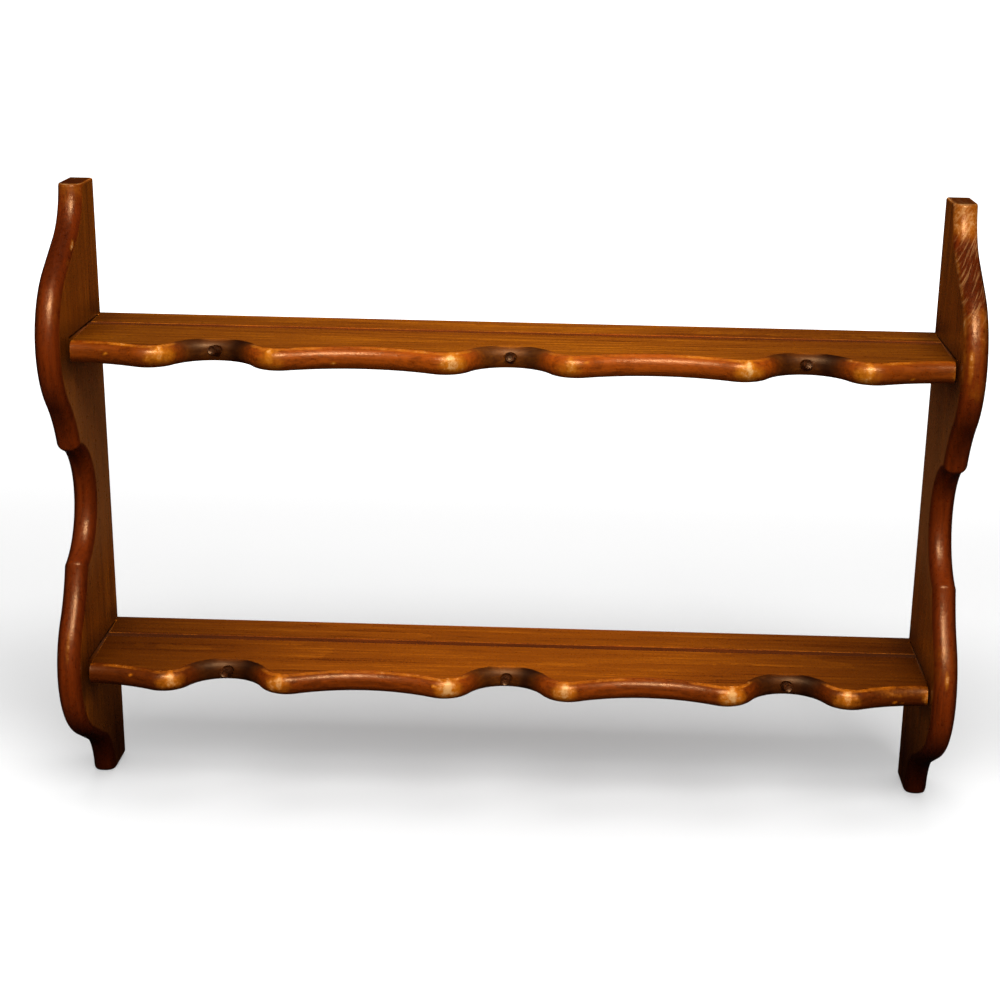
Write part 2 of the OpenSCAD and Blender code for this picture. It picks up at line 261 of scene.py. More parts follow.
# %% Sizes of a side board
BOARD_T, BOARD_ROUND = 20.5, 9.5
INNER_X, NECK_Z = 360.0, -216.5
LOBE_Z, LOBE_R, LOBE_DEPTH = 142.5, 76.5, 132.0
TIP_SLOPE, TIP_R, TIP_DEPTH = 58.0, 50.5, 39.5
NECK_R, NECK_DEPTH, SWEEP_SLOPE, SWEEP_R = 50.5, 50.0, 42.0, 110.0
LIP_ROUND, LIP_SHRINK, LIP_LEAST = 6.0, 0.7, 0.4  # the soft lip, which tightens inwards
TOP_Z, TOP_CORNER, TOP_EASE = 265.0, 3.0, 2.0  # heights are from the neck's middle
FOOT_Z, FOOT_CORNER, FOOT_EASE = 270.0, 4.0, 3.5
BOARD_X = INNER_X + BOARD_T / 2


def polar(centre, radius, angle):
    a = math.radians(angle)
    return Vector(centre) + radius * Vector((math.sin(a), math.cos(a)))


LOBE_C = Vector((LOBE_Z, LOBE_DEPTH - LOBE_R))
NECK_C = Vector((0, NECK_DEPTH + NECK_R))
SWEEP_C = polar(LOBE_C, LOBE_R + SWEEP_R, -SWEEP_SLOPE)
RUN_START = polar(LOBE_C, LOBE_R, TIP_SLOPE)
slope = math.radians(TIP_SLOPE)
RUN_L = (RUN_START.y + TIP_R * math.cos(slope) - TIP_DEPTH - TIP_R) / math.sin(slope)
COVE_C = RUN_START + RUN_L * Vector((math.cos(slope), -math.sin(slope)))
COVE_C = polar(COVE_C, TIP_R, TIP_SLOPE)
print("cove centre", COVE_C)


# %% Draw half a board, and the whole ring
def half_board(bm, tip, side, end, inset, ease, corner):
    """Draws from the neck's middle to one end: side is 1 upwards and -1 downwards."""
    def arc(tip, centre, start, stop, step=3.0, count=None):
        middle = (side * centre[0], centre[1])
        return draw_arc(bm, tip, middle, side * start, side * stop, step, count)

    lip_r = max(LIP_ROUND - LIP_SHRINK * inset, LIP_LEAST)
    lip_c = meet(NECK_C, NECK_R + inset + lip_r, SWEEP_C, SWEEP_R + inset + lip_r)
    neck_a, sweep_a = bearing(lip_c, NECK_C), bearing(lip_c, SWEEP_C)
    tip = arc(tip, NECK_C, 180, neck_a)
    tip = arc(tip, lip_c, neck_a - 180, sweep_a - 180, count=8)
    tip = arc(tip, SWEEP_C, sweep_a, 180 - SWEEP_SLOPE, count=14)
    tip = arc(tip, LOBE_C, -SWEEP_SLOPE, TIP_SLOPE)
    run = polar(LOBE_C, LOBE_R - inset, TIP_SLOPE)
    cove = polar(COVE_C, TIP_R + inset, 180 + TIP_SLOPE)
    for share in (0.25, 0.5, 0.75, 1):
        place = run.lerp(cove, share)
        tip = draw_to(bm, tip, side * place.x, place.y)
    corner_z = end - ease - corner
    reach = min(corner_z - COVE_C.x, 0)
    cove_end = 180 + math.degrees(math.asin(-reach / (TIP_R + inset)))
    tip = arc(tip, COVE_C, 180 + TIP_SLOPE, cove_end, count=18)
    tip_depth = COVE_C.y - math.sqrt((TIP_R + inset) ** 2 - reach ** 2)
    if reach == 0:
        tip = draw_to(bm, tip, side * corner_z, tip_depth)
    tip = arc(tip, (corner_z, tip_depth - corner), 0, 90, 15)
    return draw_to(bm, tip, side * (end - ease), 0)


def end_ease(place, radius, thick):
    """How far a sawn end is drawn in at this place across the thickness."""
    short = radius - (thick / 2 - abs(place))
    return radius - math.sqrt(radius ** 2 - short ** 2) if short > 0 else 0.0


def board_ring(bm, place, inset):
    neck = start_line(bm, 0, NECK_DEPTH - inset, place)
    ease = end_ease(place, TOP_EASE, BOARD_T)
    top = half_board(bm, neck, 1, TOP_Z, inset, ease, TOP_CORNER)
    ease = end_ease(place, FOOT_EASE, BOARD_T)
    foot = half_board(bm, neck, -1, FOOT_Z, inset, ease, FOOT_CORNER)
    join_ends(bm, top, foot)


# %% [markdown]
# ## Joints and hangers in a board
# The shelves sit in housings sawn 6 mm into the boards, and two screws go through into each shelf
# end, hidden by plugs. On the back, a recess takes the hanger plate, with a pocket behind it so
# that the head of a wall screw has room. These cuts are the same for both sides.

# %% Sizes and cutters of the joints
SHELF_T, HOUSING_D, HOUSING_L = 18.5, 6.0, 98.0
SHELF_Z = {"upper": -76.5, "lower": -359.0}
SCREW_Y, SCREW_HOLE_R, SCREW_REACH, HEAD_T = (-20.0, -78.0), 2.2, 32.0, 3.0
PLUG_R, PLUG_T, PLUG_SUNK, PLUG_EASE = 5.0, 4.0, 0.15, 0.5
HANG_DROP, HANG_SLOT, HANG_ENTRY, POCKET_D = 4.5, 11.5, 5.55, 12.0
HANGER_L, HANGER_W, HANGER_T = 46.0, 15.0, 1.6
HANGER_SCREW_OFF, HANGER_SCREW_R, HANGER_SCREW_L = 18.0, 1.7, 16.1
FIT, PAST = 0.1, 1.0  # play round a plug or peg, and how far a cutter runs past a surface


def housings(bm):
    for z in SHELF_Z.values():
        low, high = z - SHELF_T / 2, z + SHELF_T / 2
        block(bm, (INNER_X - PAST, -HOUSING_L, low), (INNER_X + HOUSING_D, PAST, high))


def screw_holes(bm):
    for z in SHELF_Z.values():
        for y in SCREW_Y:
            rod(bm, SCREW_HOLE_R, (INNER_X - PAST, y, z), (INNER_X + BOARD_T + PAST, y, z))


def plug_holes(bm):
    outside = INNER_X + BOARD_T
    for z in SHELF_Z.values():
        for y in SCREW_Y:
            rod(bm, PLUG_R + FIT, (outside - PLUG_T - HEAD_T, y, z), (outside + PAST, y, z))


def slot_shape(bm, radius, low, high, front, back=PAST):
    """A round-ended upright slot, as a router cuts it from the wall side."""
    bmesh.ops.create_circle(bm, cap_ends=False, segments=48, radius=radius)
    for v in bm.verts:
        v.co = Vector((v.co.x, 0, v.co.y + (high if v.co.y > 1e-6 else low)))
    face = bmesh.ops.contextual_create(bm, geom=bm.edges[:])["faces"][0]
    bmesh.ops.translate(bm, vec=(BOARD_X, back, 0), verts=bm.verts[:])
    grown = bmesh.ops.extrude_face_region(bm, geom=[face])["geom"]
    ends = [v for v in grown if isinstance(v, bmesh.types.BMVert)]
    bmesh.ops.translate(bm, vec=(0, -front - back, 0), verts=ends)
    bmesh.ops.recalc_face_normals(bm, faces=bm.faces[:])


def plate_recess(bm):
    reach = HANGER_L / 2 - HANGER_W / 2
    slot_shape(bm, HANGER_W / 2, HANG_DROP - reach, HANG_DROP + reach, HANGER_T)


def pocket(bm):
    slot_shape(bm, HANG_ENTRY, 0, HANG_SLOT, HANGER_T + POCKET_D)


def hanger_screw_holes(bm):
    for side in (-1, 1):
        z = HANG_DROP + side * HANGER_SCREW_OFF
        rod(bm, HANGER_SCREW_R, (BOARD_X, PAST, z), (BOARD_X, -HANGER_SCREW_L, z), sides=24)


# %% Cut a board, and mirror it
def make_board(name):
    """The right-hand board, in its place."""
    bm = bmesh.new()
    skin_rings(bm, board_ring, edge_layers(BOARD_T, BOARD_ROUND))
    # Stand the drawing up: along becomes height, and the thickness runs left to right
    stand = Matrix(((0, 0, 1, BOARD_X), (0, 1, 0, 0), (1, 0, 0, NECK_Z), (0, 0, 0, 1)))
    bmesh.ops.transform(bm, matrix=stand, verts=bm.verts[:])
    bmesh.ops.recalc_face_normals(bm, faces=bm.faces[:])
    board = to_object(bm, name)
    carve(
        board, "DIFFERENCE", housings, screw_holes, plug_holes, plate_recess, pocket,
        hanger_screw_holes,
    )
    return board


def mirror_piece(source, name):
    """The left-hand twin of a right-hand piece."""
    bm = bmesh.new()
    bm.from_mesh(source.data)
    bmesh.ops.scale(bm, vec=(-1 / MM, 1 / MM, 1 / MM), verts=bm.verts[:])
    bmesh.ops.reverse_faces(bm, faces=bm.faces[:])
    return to_object(bm, name)


side_right = make_board("side_board_right")
side_left = mirror_piece(side_right, "side_board_left")
print("faces in a side board:", len(side_right.data.polygons))

# %% [markdown]
# ## The shelves
# A shelf's front runs in and out: three round notches let a cup hang clear of the edge, with a
# full crest on either side of each and a shallow hollow between. The pen draws one notch with its
# two crests and half of each hollow, and does so three times along.

# %% Sizes of a shelf, and its outline
SHELF_ROUND, PITCH = 8.2, 240.0
NOTCH_DEPTH, NOTCH_R, CREST_DEPTH, CREST_R, VALLEY_DEPTH = 97.0, 33.0, 127.5, 28.0, 114.5
NOTCH_X = (-PITCH, 0.0, PITCH)
VALLEY_STEPS, CREST_STEPS, NOTCH_STEPS = 16, 18, 30
notch_c = NOTCH_DEPTH + NOTCH_R
crest_c = CREST_DEPTH - CREST_R
CREST_U = math.sqrt((NOTCH_R + CREST_R) ** 2 - (notch_c - crest_c) ** 2)
gap, rise = PITCH / 2 - CREST_U, VALLEY_DEPTH - crest_c
VALLEY_R = (gap ** 2 + rise ** 2 - CREST_R ** 2) / (2 * (CREST_R - rise))
valley_c = VALLEY_DEPTH + VALLEY_R
notch_turn = math.degrees(math.atan2(CREST_U, notch_c - crest_c))
valley_turn = math.degrees(math.atan2(gap, valley_c - crest_c))
# How far the front corners stand clear of the boards, left and right: the shelves have shrunk
CLEAR = {"upper": (4.8, 2.6), "lower": (4.3, 1.7)}
CLEAR_BACK, END_EASE = 0.3, 1.0
BACK_STOP = 12.0  # a point this far from either end keeps the long faces regular


def shelf_ring(clear):
    """An outline for one shelf, whose ends run in a little towards the front."""
    def ring(bm, place, inset):
        ease = end_ease(place, END_EASE, SHELF_T)
        valley_r = VALLEY_R + inset
        skip = [math.degrees(math.asin((c + ease) / valley_r)) for c in clear]
        first = valley_c - valley_r * math.cos(math.radians(skip[0]))
        start = tip = start_line(bm, -INNER_X + clear[0] + ease, first, place)
        for x in NOTCH_X:
            left_a = 180 - (skip[0] if x == NOTCH_X[0] else 0)
            right_a = 180 + (skip[1] if x == NOTCH_X[-1] else 0)
            for centre, a, b, count in (
                ((x - PITCH / 2, valley_c), left_a, 180 - valley_turn, VALLEY_STEPS),
                ((x - CREST_U, crest_c), -valley_turn, notch_turn, CREST_STEPS),
                ((x, notch_c), 180 + notch_turn, 180 - notch_turn, NOTCH_STEPS),
                ((x + CREST_U, crest_c), -notch_turn, valley_turn, CREST_STEPS),
                ((x + PITCH / 2, valley_c), 180 + valley_turn, right_a, VALLEY_STEPS),
            ):
                tip = draw_arc(bm, tip, centre, a, b, count=count)
        back = INNER_X - CLEAR_BACK - ease
        for x in (back, INNER_X - BACK_STOP, BACK_STOP - INNER_X, -back):
            tip = draw_to(bm, tip, x, 0)
        join_ends(bm, tip, start)
    return ring


print("crests", round(CREST_U, 1), "mm either side of a notch")

# %% [markdown]
# ## The plate groove
# A plate's rim stands in a round-bottomed groove. Years of plates have softened its lips, so the
# cutter is not a plain rod: its profile flares out to the surface on either side. One point is
# swept along that profile, the face is filled, and it is drawn out from end to end.

# %% A cutter for the groove
GROOVE_Y, GROOVE_R, LIP_R = -42.0, 4.0, 0.7
LIP_STEPS, GROOVE_STEPS = 5, 20


def groove_cutter(bm, top):
    """A half-round profile with eased lips, swept from end to end; top is the shelf's surface."""
    # The lip's circle touches the surface from below and the round of the groove from outside
    aside = math.sqrt((GROOVE_R + LIP_R) ** 2 - LIP_R ** 2)
    turn = math.degrees(math.asin(LIP_R / (GROOVE_R + LIP_R)))
    length = INNER_X + HOUSING_D + PAST
    start = bmesh.ops.create_vert(bm, co=(-length, GROOVE_Y - aside, top))["vert"][0]

    def sweep(tip, y, z, angle, count):
        swept = bmesh.ops.spin(
            bm, geom=[tip], cent=(-length, y, z), axis=(1, 0, 0), angle=math.radians(angle),
            steps=count,
        )
        return next(v for v in swept["geom_last"] if isinstance(v, bmesh.types.BMVert))

    tip = sweep(start, GROOVE_Y - aside, top - LIP_R, -(90 - turn), LIP_STEPS)
    tip = sweep(tip, GROOVE_Y, top, 180 - 2 * turn, GROOVE_STEPS)
    tip = sweep(tip, GROOVE_Y + aside, top - LIP_R, -(90 - turn), LIP_STEPS)
    for y in (GROOVE_Y + aside, GROOVE_Y - aside):
        made = bmesh.ops.extrude_vert_indiv(bm, verts=[tip])["verts"][0]
        made.co = (-length, y, top + 2 * PAST)
        tip = made
    join_ends(bm, tip, start)
    face = bmesh.ops.contextual_create(bm, geom=bm.edges[:])["faces"][0]
    grown = bmesh.ops.extrude_face_region(bm, geom=[face])["geom"]
    ends = [v for v in grown if isinstance(v, bmesh.types.BMVert)]
    bmesh.ops.translate(bm, vec=(2 * length, 0, 0), verts=ends)
    bmesh.ops.recalc_face_normals(bm, faces=bm.faces[:])


# %% [markdown]
# ## Tongues and peg holes
# Each end of a shelf is a tongue that fills its housing, and the screws bite into it. Each peg hole
# is drilled slightly upwards, with a narrower bore behind it for the tenon, and its mouth is opened
# a little by a countersink. All are added or cut with the same small solids as in the boards.

# %% Make the shelves
TONGUE_ROOT, TONGUE_LOW, TONGUE_BACK = 20.0, 2.0, 8.0
PEG_R, PEG_TENON_R, PEG_SEAT, PEG_TENON_L, PEG_TILT = 4.1, 3.2, 3.0, 12.0, 18.0
PEG_CUT = 12.0  # how far a peg hole's cutter stands out of the notch
MOUTH_GAP, MOUTH_DEEP, MOUTH_OUT = 0.15, 1.0, 3.0


def peg_axis(lean=(0.0, 0.0)):
    """The way a peg points: outwards and a little up, with its own lean in degrees."""
    tilt, turn = math.radians(PEG_TILT + lean[1]), math.radians(lean[0])
    level = math.cos(tilt)
    return Vector((math.sin(turn) * level, -math.cos(turn) * level, math.sin(tilt)))


def make_shelf(name, z, clear):
    top, out = z + SHELF_T / 2, peg_axis()
    feet = [Vector((x, -NOTCH_DEPTH, z)) for x in NOTCH_X]

    def end_blocks(bm, depth, low, high):
        """A block at either end, from inside the shelf to the bottom of its housing."""
        for side in (-1, 1):
            near, far = sorted((side * (INNER_X - TONGUE_ROOT), side * (INNER_X + HOUSING_D)))
            block(bm, (near, -depth, low), (far, 0, high))

    # The tongue stays under the shelf's top, so that the shelf's own end arris shows beside it,
    # and reaches full height only at the back
    def tongues(bm):
        end_blocks(bm, HOUSING_L, z - SHELF_T / 2, top - TONGUE_LOW)

    def tongue_backs(bm):
        end_blocks(bm, TONGUE_BACK, z, top)

    def groove(bm):
        groove_cutter(bm, top)

    def peg_holes(bm):
        for foot in feet:
            rod(bm, PEG_R + FIT, foot - PEG_SEAT * out, foot + PEG_CUT * out)

    def tenon_holes(bm):
        for foot in feet:
            rod(bm, PEG_TENON_R + FIT, foot - (PEG_SEAT + PEG_TENON_L) * out, foot)

    def mouths(bm):
        for foot in feet:
            near, far = foot - MOUTH_DEEP * out, foot + MOUTH_OUT * out
            rod(bm, PEG_R + MOUTH_GAP, near, far, PEG_R + MOUTH_OUT)

    def end_holes(bm):
        for side in (-1, 1):
            near, far = side * (INNER_X - SCREW_REACH), side * (INNER_X + HOUSING_D + PAST)
            for y in SCREW_Y:
                rod(bm, SCREW_HOLE_R, (near, y, z), (far, y, z), sides=24)

    bm = bmesh.new()
    skin_rings(bm, shelf_ring(clear), edge_layers(SHELF_T, SHELF_ROUND))
    bmesh.ops.translate(bm, vec=(0, 0, z), verts=bm.verts[:])
    shelf = to_object(bm, name)
    carve(shelf, "UNION", tongues, tongue_backs)
    carve(shelf, "DIFFERENCE", groove, peg_holes, tenon_holes, mouths, end_holes)
    return shelf


shelves = {
    level: make_shelf(level + "_shelf", z, CLEAR[level]) for level, z in SHELF_Z.items()
}
print({s.name: len(s.data.polygons) for s in shelves.values()})

# %% [markdown]
# ## The cup pegs
# Each peg is a short turned stub on a thinner tenon, glued into the notch. A lathe makes it, so a
# profile is spun once round its axis. The end keeps the shallow dish and the rim that the turning
# tool leaves, and no two pegs stand quite alike.

# %% Turn the pegs
PEG_PROFILE = (  # (radius, height along the peg) from the tenon's end to the middle of the front
    (0.0, -15.0), (2.8, -15.0), (3.2, -14.6), (3.2, -3.0), (4.0, -3.0), (4.1, -2.9), (4.1, 6.0),
    (4.05, 13.4), (3.95, 14.1), (3.65, 14.7), (3.2, 15.0), (2.8, 14.92), (2.4, 14.6), (1.6, 14.4),
    (0.8, 14.35), (0.0, 14.35),
)
PEG_LEANS = {  # degrees to the right and up, as found on the old rack
    ("upper", 0): (-3.0, -1.5), ("upper", 1): (0.5, 0.0), ("upper", 2): (0.0, 0.5),
    ("lower", 0): (-3.5, -2.0), ("lower", 1): (-2.0, -2.5), ("lower", 2): (1.5, 2.0),
}


def make_peg(name, x, z, lean):
    bm = bmesh.new()
    line = [bmesh.ops.create_vert(bm, co=(r, 0, h))["vert"][0] for r, h in PEG_PROFILE]
    for a, b in zip(line, line[1:]):
        join_ends(bm, a, b)
    bmesh.ops.spin(
        bm, geom=bm.verts[:] + bm.edges[:], cent=(0, 0, 0), axis=(0, 0, 1),
        angle=math.tau, steps=40, use_merge=True,
    )
    bmesh.ops.remove_doubles(bm, verts=bm.verts[:], dist=1e-4)
    bmesh.ops.recalc_face_normals(bm, faces=bm.faces[:])
    aim = peg_axis(lean).to_track_quat("Z", "Y").to_matrix().to_4x4()
    put = Matrix.Translation((x, -NOTCH_DEPTH, z)) @ aim
    bmesh.ops.transform(bm, matrix=put, verts=bm.verts[:])
    return to_object(bm, name)


PLACES = ("left", "centre", "right")
pegs = {}
for level, z in SHELF_Z.items():
    for k, place in enumerate(PLACES):
        name = f"cup_peg_{level}_{place}"
        pegs[level, place] = make_peg(name, NOTCH_X[k], z, PEG_LEANS[level, k])
print("pegs turned:", len(pegs))

# %% [markdown]
# ## Plugs
# A plug is a short dowel cut flush over each screw. Its rim is slightly eased, so a thin ring
# shows on the outside of the boards. One piece holds the two plugs of a joint, as the CAD node
# does. The lathe isn't needed here: a cylinder with a bevelled rim is the whole shape.


# %% Make the plugs
def make_plugs(name, side, z):
    bm = bmesh.new()
    outside = INNER_X + BOARD_T
    for y in SCREW_Y:
        deep, flush = side * (outside - PLUG_T), side * (outside - PLUG_SUNK)
        rod(bm, PLUG_R, (deep, y, z), (flush, y, z))
    rims = [
        e for e in bm.edges if all(abs(abs(v.co.x) - outside) < PLUG_EASE for v in e.verts)
    ]
    bmesh.ops.bevel(
        bm, geom=rims, offset=PLUG_EASE, segments=3, profile=0.5, affect="EDGES", material=-1,
    )
    return to_object(bm, name)


plugs = {}
for level, z in SHELF_Z.items():
    for side, hand in ((-1, "left"), (1, "right")):
        plugs[level, hand] = make_plugs(f"plug_pair_{level}_{hand}", side, z)
print("plug pairs:", len(plugs))

# %% [markdown]
# ## Where the finish is worn, stained and painted with light
# A wood finish wears where hands and plates rub it: on the crests beside each notch, along the
# front lip, and on the fronts of the boards. Some of these pale marks are also painted highlights.
# Each vertex gets a number from 0 to 1 for wear and painted highlight, and others for stain and
# painted shade, dust and the rounded front. The shaders read them by name, so the marks stay on
# the wood, and the dense meshes of the rounded edges carry them finely enough.


# %% Helpers that paint numbers onto a mesh
def smooth(low, high, value):
    t = min(max((value - low) / (high - low), 0.0), 1.0)
    return t * t * (3 - 2 * t)


def band(start, full, last, end, value):
    """Rises from start to full, and falls again from last to end."""
    return smooth(start, full, value) * (1 - smooth(last, end, value))


def paint(piece, name, rule):
    """Stores rule(place in millimetres, direction) of every vertex under a name."""
    layer = piece.data.attributes.new(name, "FLOAT", "POINT")
    layer.data.foreach_set("value", [rule(v.co / MM, v.normal) for v in piece.data.vertices])


def spot(p, x, z, wide, tall):
    """1 at the middle of an upright patch on a front edge, 0 outside it."""
    return 1 - smooth(0.25, 1.0, math.hypot((p.x - x) / wide, (p.z - z) / tall))


# %% Wear on a shelf
FLAT = 0.02  # nearer than this to the top face, a point counts as on it
# Small chips in a shelf's front: (from the rack's middle, above the shelf's own middle)
CHIPS = {
    "upper": ((-330, 4), (-326, 1), (-141, -3), (62, 5), (322, -4)),
    "lower": ((-318, 4), (-60, 4), (330, -3), (336, -4)),
}
# Where each crest is rubbed and has a painted highlight, in millimetres from the rack's middle
RUBBED_AND_HIGHLIT = {
    "upper": (-281.0, -192.0, -46.5, 49.5, 192.0, 287.5),
    "lower": (-284.5, -191.5, -48.0, 51.0, 192.0, 288.5),
}


def shelf_wear_and_highlight(level):
    """Rubbed crests and corners, bright lips of the front, notches and groove, small chips; the
    crests and lips also carry painted highlights.
    """
    z, clear = SHELF_Z[level], CLEAR[level]
    corners = ((clear[0] - INNER_X, 0.36), (INNER_X - clear[1], 0.58))  # (place, amount)

    def rule(p, n):
        below = SHELF_T / 2 - (p.z - z)  # depth under the top face
        if below < FLAT:
            return 0.0
        if abs(p.y - GROOVE_Y) < GROOVE_R + 1.2:
            return 0.30 if below < 0.5 else 0.0
        front = smooth(100, 112, -p.y)
        # the lip along the top of the front is rubbed, and is also a painted highlight
        lip = band(FLAT, 0.1, 0.9, 2.2, below)
        notch_lip = smooth(90, 96, -p.y) * (1 - front)
        end = smooth(352, 353, abs(p.x)) * band(FLAT, 0.1, 0.7, 1.2, below)
        marks = [
            0.42 * lip * front, 0.26 * lip * notch_lip, 0.10 * front,
            0.6 * end * (1.0 if p.x < 0 else 0.6),
        ]
        if level == "lower":  # rubbed all along its right-hand end
            marks.append(0.34 * front * smooth(280, 330, p.x) * smooth(-0.3, 0.3, n.z))
        for x in RUBBED_AND_HIGHLIT[level]:  # a bare heart in a wider rubbed patch, both also a painted highlight
            marks.append(0.88 * front * spot(p, x, z + 2.5, 6.5, 12))
            marks.append(0.55 * front * spot(p, x, z, 19, 15))
        for x, rub in corners:
            marks.append(rub * front * spot(p, x, z + 1, 6, 12))
        for x, high in CHIPS[level]:
            marks.append(0.85 * front * spot(p, x, z + high, 2.6, 2.2))
        return max(marks)
    return rule


# %% [markdown]
# ### Stain, painted shade, dust and the rounded front of a shelf
# Stain gathers in the notches, which no cloth reaches. Shade is painted in as a darker colour under
# the front, on the ends in the housings and towards the right of each notch. Dust lies in the
# groove and takes its shine away. The rounded front and the groove took the colour a little redder
# than the planed top did, so they are told apart by a number of their own.


# %% Stain, painted shade and dust on a shelf
NOTCH_REACH = 50.0  # half the width of a notch with its flanks


def notch_wall(p):
    """1 on the wall of a notch, 0 on the crests beside it and everywhere else."""
    if min(abs(p.x - x) for x in NOTCH_X) > NOTCH_REACH:
        return 0.0
    return (1 - smooth(99, 119, -p.y)) * smooth(90, 94, -p.y)


def shelf_stain_and_shade(level):
    """Dark finish in the notches and the groove; painted shade under the front, on the ends in the
    housings and towards the right of each notch.
    """
    z = SHELF_Z[level]

    def rule(p, n):
        up = p.z - z
        if abs(p.y - GROOVE_Y) < GROOVE_R + 0.3 and up > 4 and up < SHELF_T / 2 - 0.45:
            return 0.50
        # painted shade on the ends inside the housings
        if abs(p.x) > INNER_X - 0.1:
            return 1.0
        if SHELF_T / 2 - up < FLAT:
            return 0.0
        off = min((p.x - x for x in NOTCH_X), key=abs)
        wall = 0.72 if level == "upper" and abs(p.x) < NOTCH_REACH else 0.84
        wall += 0.16 * smooth(-26, 10, off)  # painted shade: darker towards the right of each notch
        wall -= 0.26 * (1 - smooth(5, 18, abs(off)))  # paler round the peg
        # painted shade where the rounded front turns down
        under = 0.72 * smooth(-0.35, 0.95, -n.z) * smooth(100, 110, -p.y)
        return max(notch_wall(p) * wall, under)
    return rule


def shelf_dust(level):
    """1 in the groove, where dust takes the shine away, some in the notches, 0 elsewhere."""
    top = SHELF_Z[level] + SHELF_T / 2

    def rule(p, n):
        if p.z - top > -FLAT:
            return 0.0
        if abs(p.y - GROOVE_Y) < GROOVE_R + 0.6 and p.z - top > -5:
            return 1.0
        return 0.22 * notch_wall(p)
    return rule


def shelf_nose(level):
    """The front edge and the groove, whose finish came out a little redder than the top's."""
    z, dust = SHELF_Z[level], shelf_dust(level)

    def rule(p, n):
        off_top = SHELF_T / 2 - (p.z - z) > FLAT
        return max(dust(p, n), smooth(100, 110, -p.y) if off_top else 0.0)
    return rule


# %% [markdown]
# ### The boards
# The right-hand board had a harder life than the left one: its tip is rubbed and scratched, its
# upper lobe bare along one side and its lower lobe bruised. The left board's lobes also carry
# painted highlights. Both have painted shade where the front looks down, in the upper coves and on
# the flanks of the front, and a dark finish on the sawn ends. Each mark below is one line: how
# strong, and between which heights.


# %% Wear, painted highlights, stain and painted shade on a board
def from_faces(p):
    """Distance from the nearer flat face of a board."""
    return min(abs(abs(p.x) - INNER_X), abs(abs(p.x) - INNER_X - BOARD_T))


def on_front(p):
    """1 on a board's rounded front edge, 0 on its flat faces and its back."""
    return smooth(0.01, 0.4, from_faces(p)) * smooth(20, 30, -p.y)


def board_wear_and_highlight(p, n):
    """Bare wood round the top end, and rubbed patches on the fronts; the left board's lobes also
    get painted highlights.
    """
    rim = band(47.4, 47.9, 48.25, 48.48, p.z) * smooth(0.01, 0.2, from_faces(p))
    if p.x > 0:
        inner = band(-0.1, 0.1, 1.4, 3.0, p.x - INNER_X)
        marks = (
            0.60 * smooth(10, 34, p.z),  # the tip
            0.60 * inner * band(-110, -70, -12, 30, p.z),  # the edge beside the upper shelf
            0.76 * spot(p, 366, -66, 4.0, 26),  # a long rub on the upper lobe
            0.36 * band(-110, -85, -30, -10, p.z),
            0.76 * spot(p, 370, -337, 3.0, 12),  # a bruise on the lower lobe
            0.24 * band(-360, -335, -300, -270, p.z),
        )
    else:
        marks = (
            0.36 * smooth(18, 40, p.z),  # the tip
            0.75 * spot(p, -361.6, 2, 2.0, 2.2),  # two knocks on the inner edge
            0.55 * spot(p, -361.2, -9, 1.6, 6),
            0.20 * band(-80, -55, -30, -15, p.z),  # the lobes, rubbed and with painted highlights
            # a painted highlight on the lower lobe
            0.42 * spot(p, -369.5, -330, 3.0, 22),
        )
    return max(0.95 * rim, on_front(p) * max(0.10, *marks))


def board_scuff(p, n):
    """Diagonal scratches on the top of the right-hand board's front."""
    return on_front(p) * band(-42, -18, 60, 70, p.z) if p.x > 0 else 0.0


def board_stain_and_shade(p, n):
    """Painted shade where the front faces down, in the upper coves and on its flanks, and a dark
    finish on the sawn ends.
    """
    top_end = smooth(48.3, 48.5, p.z) * smooth(1.0, 3.0, from_faces(p))
    ends = min(top_end + smooth(-485.0, -486.4, p.z), 1.0)
    # painted shade: where the front faces down, on the upward cove near the tip, and on its flanks
    down = 0.80 * smooth(0.1, 0.85, -n.z)
    cove = 0.5 * smooth(0.45, 0.8, n.z) * smooth(-40, -15, p.z)
    outward = n.x if p.x > 0 else -n.x
    flank = max(0.7 * smooth(0.2, 0.9, outward), 0.4 * smooth(0.4, 0.95, -outward))
    return max(0.62 * ends, on_front(p) * max(down, cove, flank * (1 - smooth(0, 25, p.z))))


# %% Paint the boards and shelves
for level in SHELF_Z:
    paint(shelves[level], "wear_and_highlight", shelf_wear_and_highlight(level))
    paint(shelves[level], "stain_and_shade", shelf_stain_and_shade(level))
    paint(shelves[level], "nose", shelf_nose(level))
    paint(shelves[level], "dust", shelf_dust(level))
for board in (side_left, side_right):
    paint(board, "wear_and_highlight", board_wear_and_highlight)
    paint(board, "stain_and_shade", board_stain_and_shade)
    paint(board, "nose", lambda p, n: on_front(p))
    paint(board, "scuff", board_scuff)
print("worn and stained: 2 boards,", len(shelves), "shelves")

# %% [markdown]
# ## Building a material from nodes
# Small helpers keep the node recipes short: one adds a node and joins its inputs, and the others
# are shorthand for the nodes used most, such as noise, sums and the blend of two colours. Every
# pattern reads Object coordinates, so it stays on the wood in any view.


# %% Node helpers
def node(tree, kind, inputs=None, **settings):
    made = tree.nodes.new(kind)
    for key, value in settings.items():
        setattr(made, key, value)
    for key, value in (inputs or {}).items():
        if isinstance(value, bpy.types.NodeSocket):
            tree.links.new(value, made.inputs[key])
        else:
            made.inputs[key].default_value = value
    return made


def mapped(tree, vector, scale=(1, 1, 1), location=(0, 0, 0), rotation=(0, 0, 0)):
    return node(
        tree, "ShaderNodeMapping",
        {"Vector": vector, "Scale": scale, "Location": location, "Rotation": rotation},
    ).outputs["Vector"]


